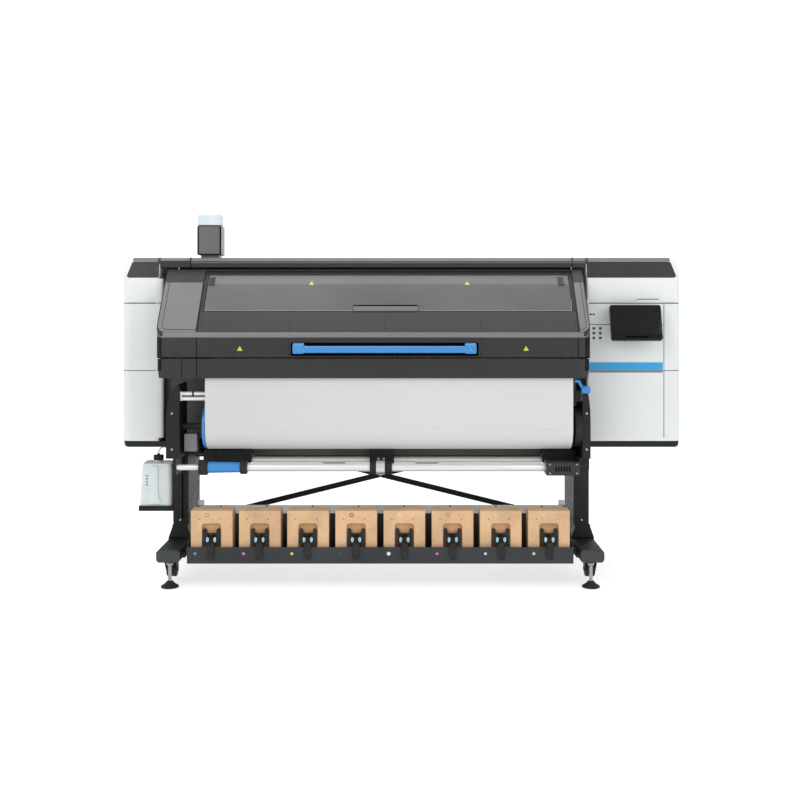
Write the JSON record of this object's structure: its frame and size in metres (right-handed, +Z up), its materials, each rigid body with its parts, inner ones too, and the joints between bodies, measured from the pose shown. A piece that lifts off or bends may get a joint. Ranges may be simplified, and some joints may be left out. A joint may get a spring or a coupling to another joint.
{
  "type": "printer cutter",
  "caption": "Wide-format roll printer and cutter on a wheeled stand, with a hinged front cover, media roll, take-up bar, ink rack and waste bottle.",
  "frame": {"origin": "on the floor, under the middle of the machine's bounding box", "axes": "+X to the operator's right along the media's width, +Y towards the machine's back, +Z up"},
  "size_m": [2.583, 0.852, 1.6653],
  "materials": {
    "panel_white": "fine-textured moulded plastic, cool white",
    "trim_dark": "dark grey textured plastic",
    "cover_grey": "charcoal textured plastic",
    "frame_black": "black powder coat",
    "beam_grey": "dark grey powder coat",
    "handle_blue": "satin blue plastic",
    "bright_metal": "anodised aluminium",
    "rubber_black": "matt black rubber",
    "smoked_clear": "smoked clear sheet",
    "cardboard": "brown corrugated board",
    "media_white": "matt white vinyl",
    "milky_plastic": "milky translucent plastic",
    "hose_white": "white flexible hose",
    "display_black": "gloss black"
  },
  "bodies": {
    "root": {"left_pod": "panel_white", "right_pod": "panel_white", "left_pod_lid": "panel_white", "rear_cover": "trim_dark", "take_up_motor": "trim_dark", "display_mount": "trim_dark", "beacon_stand": "trim_dark", "lower_fascia": "cover_grey", "left_foot_beam": "frame_black", "right_foot_beam": "frame_black", "left_column": "frame_black", "right_column": "frame_black", "rear_cross_beam": "frame_black", "cross_brace": "frame_black", "bottle_shelf": "frame_black", "base_frame": "frame_black", "front_cross_beam": "beam_grey", "ink_tray": "beam_grey", "chassis_beam": "beam_grey", "platen": "bright_metal", "carriage_rail": "bright_metal", "guide_bars": "bright_metal", "bottle_cap": "rubber_black", "ink_box_1": "cardboard", "ink_box_2": "cardboard", "ink_box_3": "cardboard", "ink_box_4": "cardboard", "ink_box_5": "cardboard", "ink_box_6": "cardboard", "ink_box_7": "cardboard", "ink_box_8": "cardboard", "media_web": "media_white", "waste_bottle": "milky_plastic", "beacon_lens": "milky_plastic", "drain_hose": "hose_white"},
    "front_cover": {"front_cover": "cover_grey", "front_handle": "handle_blue"},
    "window": {"window": "smoked_clear"},
    "right_pod_lid": {"right_pod_lid": "panel_white"},
    "carriage": {"carriage": "trim_dark"},
    "display": {"display_housing": "display_black"},
    "supply_roll": {"supply_spindle": "rubber_black", "media_roll": "media_white"},
    "take_up_bar": {"take_up_spindle": "bright_metal", "take_up_hub": "handle_blue"},
    "diverter_bar": {"diverter_bar": "bright_metal"},
    "spindle_lever": {"spindle_lever": "handle_blue"},
    "levelling_foot_front_left": {"levelling_foot_front_left": "rubber_black"},
    "caster_swivel_front_left": {"caster_fork_front_left": "frame_black"},
    "caster_wheel_front_left": {"caster_wheel_front_left": "rubber_black"},
    "levelling_foot_rear_left": {"levelling_foot_rear_left": "rubber_black"},
    "caster_swivel_rear_left": {"caster_fork_rear_left": "frame_black"},
    "caster_wheel_rear_left": {"caster_wheel_rear_left": "rubber_black"},
    "levelling_foot_front_right": {"levelling_foot_front_right": "rubber_black"},
    "caster_swivel_front_right": {"caster_fork_front_right": "frame_black"},
    "caster_wheel_front_right": {"caster_wheel_front_right": "rubber_black"},
    "levelling_foot_rear_right": {"levelling_foot_rear_right": "rubber_black"},
    "caster_swivel_rear_right": {"caster_fork_rear_right": "frame_black"},
    "caster_wheel_rear_right": {"caster_wheel_rear_right": "rubber_black"}
  },
  "joints": [
    {"name": "front_cover_hinge", "type": "hinge", "parent": "root", "child": "front_cover", "pos_m": [0, -0.114, 1.404], "axis": [-1, 0, 0], "range_deg": [0, 45]},
    {"name": "window_hinge", "type": "hinge", "parent": "front_cover", "child": "window", "pos_m": [0, -0.134, 1.377], "axis": [-1, 0, 0], "range_deg": [0, 70]},
    {"name": "right_lid_hinge", "type": "hinge", "parent": "root", "child": "right_pod_lid", "pos_m": [1.07, 0.33, 1.2463], "axis": [-1, 0, 0], "range_deg": [0, 60]},
    {"name": "carriage_slide", "type": "slide", "parent": "root", "child": "carriage", "axis": [1, 0, 0], "range_m": [-2.05, 0]},
    {"name": "display_tilt", "type": "hinge", "parent": "root", "child": "display", "pos_m": [1.068, -0.198, 1.11], "axis": [1, 0, 0], "range_deg": [-8, 25]},
    {"name": "supply_spin", "type": "hinge", "parent": "root", "child": "supply_roll", "pos_m": [0, -0.266, 0.695], "axis": [1, 0, 0], "continuous": true},
    {"name": "take_up_spin", "type": "hinge", "parent": "root", "child": "take_up_bar", "pos_m": [0, -0.33, 0.519], "axis": [1, 0, 0], "continuous": true},
    {"name": "diverter_spin", "type": "hinge", "parent": "root", "child": "diverter_bar", "pos_m": [0, -0.2, 0.535], "axis": [1, 0, 0], "continuous": true},
    {"name": "spindle_lever_hinge", "type": "hinge", "parent": "root", "child": "spindle_lever", "pos_m": [0.772, -0.362, 0.905], "axis": [-1, 0, 0], "range_deg": [0, 70]},
    {"name": "levelling_screw_front_left", "type": "slide", "parent": "root", "child": "levelling_foot_front_left", "axis": [0, 0, 1], "range_m": [-0.025, 0]},
    {"name": "caster_swivel_front_left", "type": "hinge", "parent": "root", "child": "caster_swivel_front_left", "pos_m": [-1.032, -0.28, 0.1], "axis": [0, 0, 1], "continuous": true},
    {"name": "caster_spin_front_left", "type": "hinge", "parent": "caster_swivel_front_left", "child": "caster_wheel_front_left", "pos_m": [-1.032, -0.262, 0.054], "axis": [1, 0, 0], "continuous": true},
    {"name": "levelling_screw_rear_left", "type": "slide", "parent": "root", "child": "levelling_foot_rear_left", "axis": [0, 0, 1], "range_m": [-0.025, 0]},
    {"name": "caster_swivel_rear_left", "type": "hinge", "parent": "root", "child": "caster_swivel_rear_left", "pos_m": [-1.032, 0.28, 0.1], "axis": [0, 0, 1], "continuous": true},
    {"name": "caster_spin_rear_left", "type": "hinge", "parent": "caster_swivel_rear_left", "child": "caster_wheel_rear_left", "pos_m": [-1.032, 0.298, 0.054], "axis": [1, 0, 0], "continuous": true},
    {"name": "levelling_screw_front_right", "type": "slide", "parent": "root", "child": "levelling_foot_front_right", "axis": [0, 0, 1], "range_m": [-0.025, 0]},
    {"name": "caster_swivel_front_right", "type": "hinge", "parent": "root", "child": "caster_swivel_front_right", "pos_m": [0.847, -0.28, 0.1], "axis": [0, 0, 1], "continuous": true},
    {"name": "caster_spin_front_right", "type": "hinge", "parent": "caster_swivel_front_right", "child": "caster_wheel_front_right", "pos_m": [0.847, -0.262, 0.054], "axis": [1, 0, 0], "continuous": true},
    {"name": "levelling_screw_rear_right", "type": "slide", "parent": "root", "child": "levelling_foot_rear_right", "axis": [0, 0, 1], "range_m": [-0.025, 0]},
    {"name": "caster_swivel_rear_right", "type": "hinge", "parent": "root", "child": "caster_swivel_rear_right", "pos_m": [0.847, 0.28, 0.1], "axis": [0, 0, 1], "continuous": true},
    {"name": "caster_spin_rear_right", "type": "hinge", "parent": "caster_swivel_rear_right", "child": "caster_wheel_rear_right", "pos_m": [0.847, 0.298, 0.054], "axis": [1, 0, 0], "continuous": true}
  ]
}
